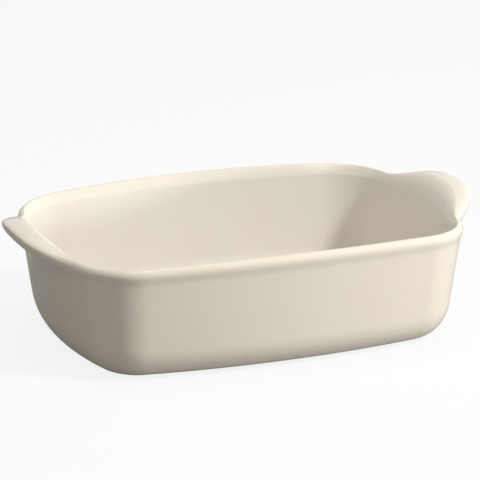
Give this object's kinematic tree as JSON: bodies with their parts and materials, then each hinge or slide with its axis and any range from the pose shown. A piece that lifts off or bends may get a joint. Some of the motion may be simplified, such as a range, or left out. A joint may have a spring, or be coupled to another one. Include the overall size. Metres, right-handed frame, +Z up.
{
  "type": "baking dish",
  "caption": "Deep rectangular baking dish in cream glazed stoneware, with bowed walls, round corners, a rounded rim and an arched handle rising from each end.",
  "frame": {"origin": "on the table, under the middle of the dish", "axes": "+X from the left handle to the right handle, +Z up, -Y towards the long side that faces the camera"},
  "size_m": [0.2964, 0.191, 0.0808],
  "materials": {
    "glaze": "glossy cream glaze",
    "bare_clay": "matt fired clay"
  },
  "bodies": {
    "root": {"floor": "bare_clay", "wall": "bare_clay", "foot_ring": "bare_clay", "rim": "glaze", "left_handle": "glaze", "right_handle": "glaze", "inner_glaze": "glaze", "outer_glaze": "glaze", "base_glaze": "glaze"}
  },
  "joints": []
}
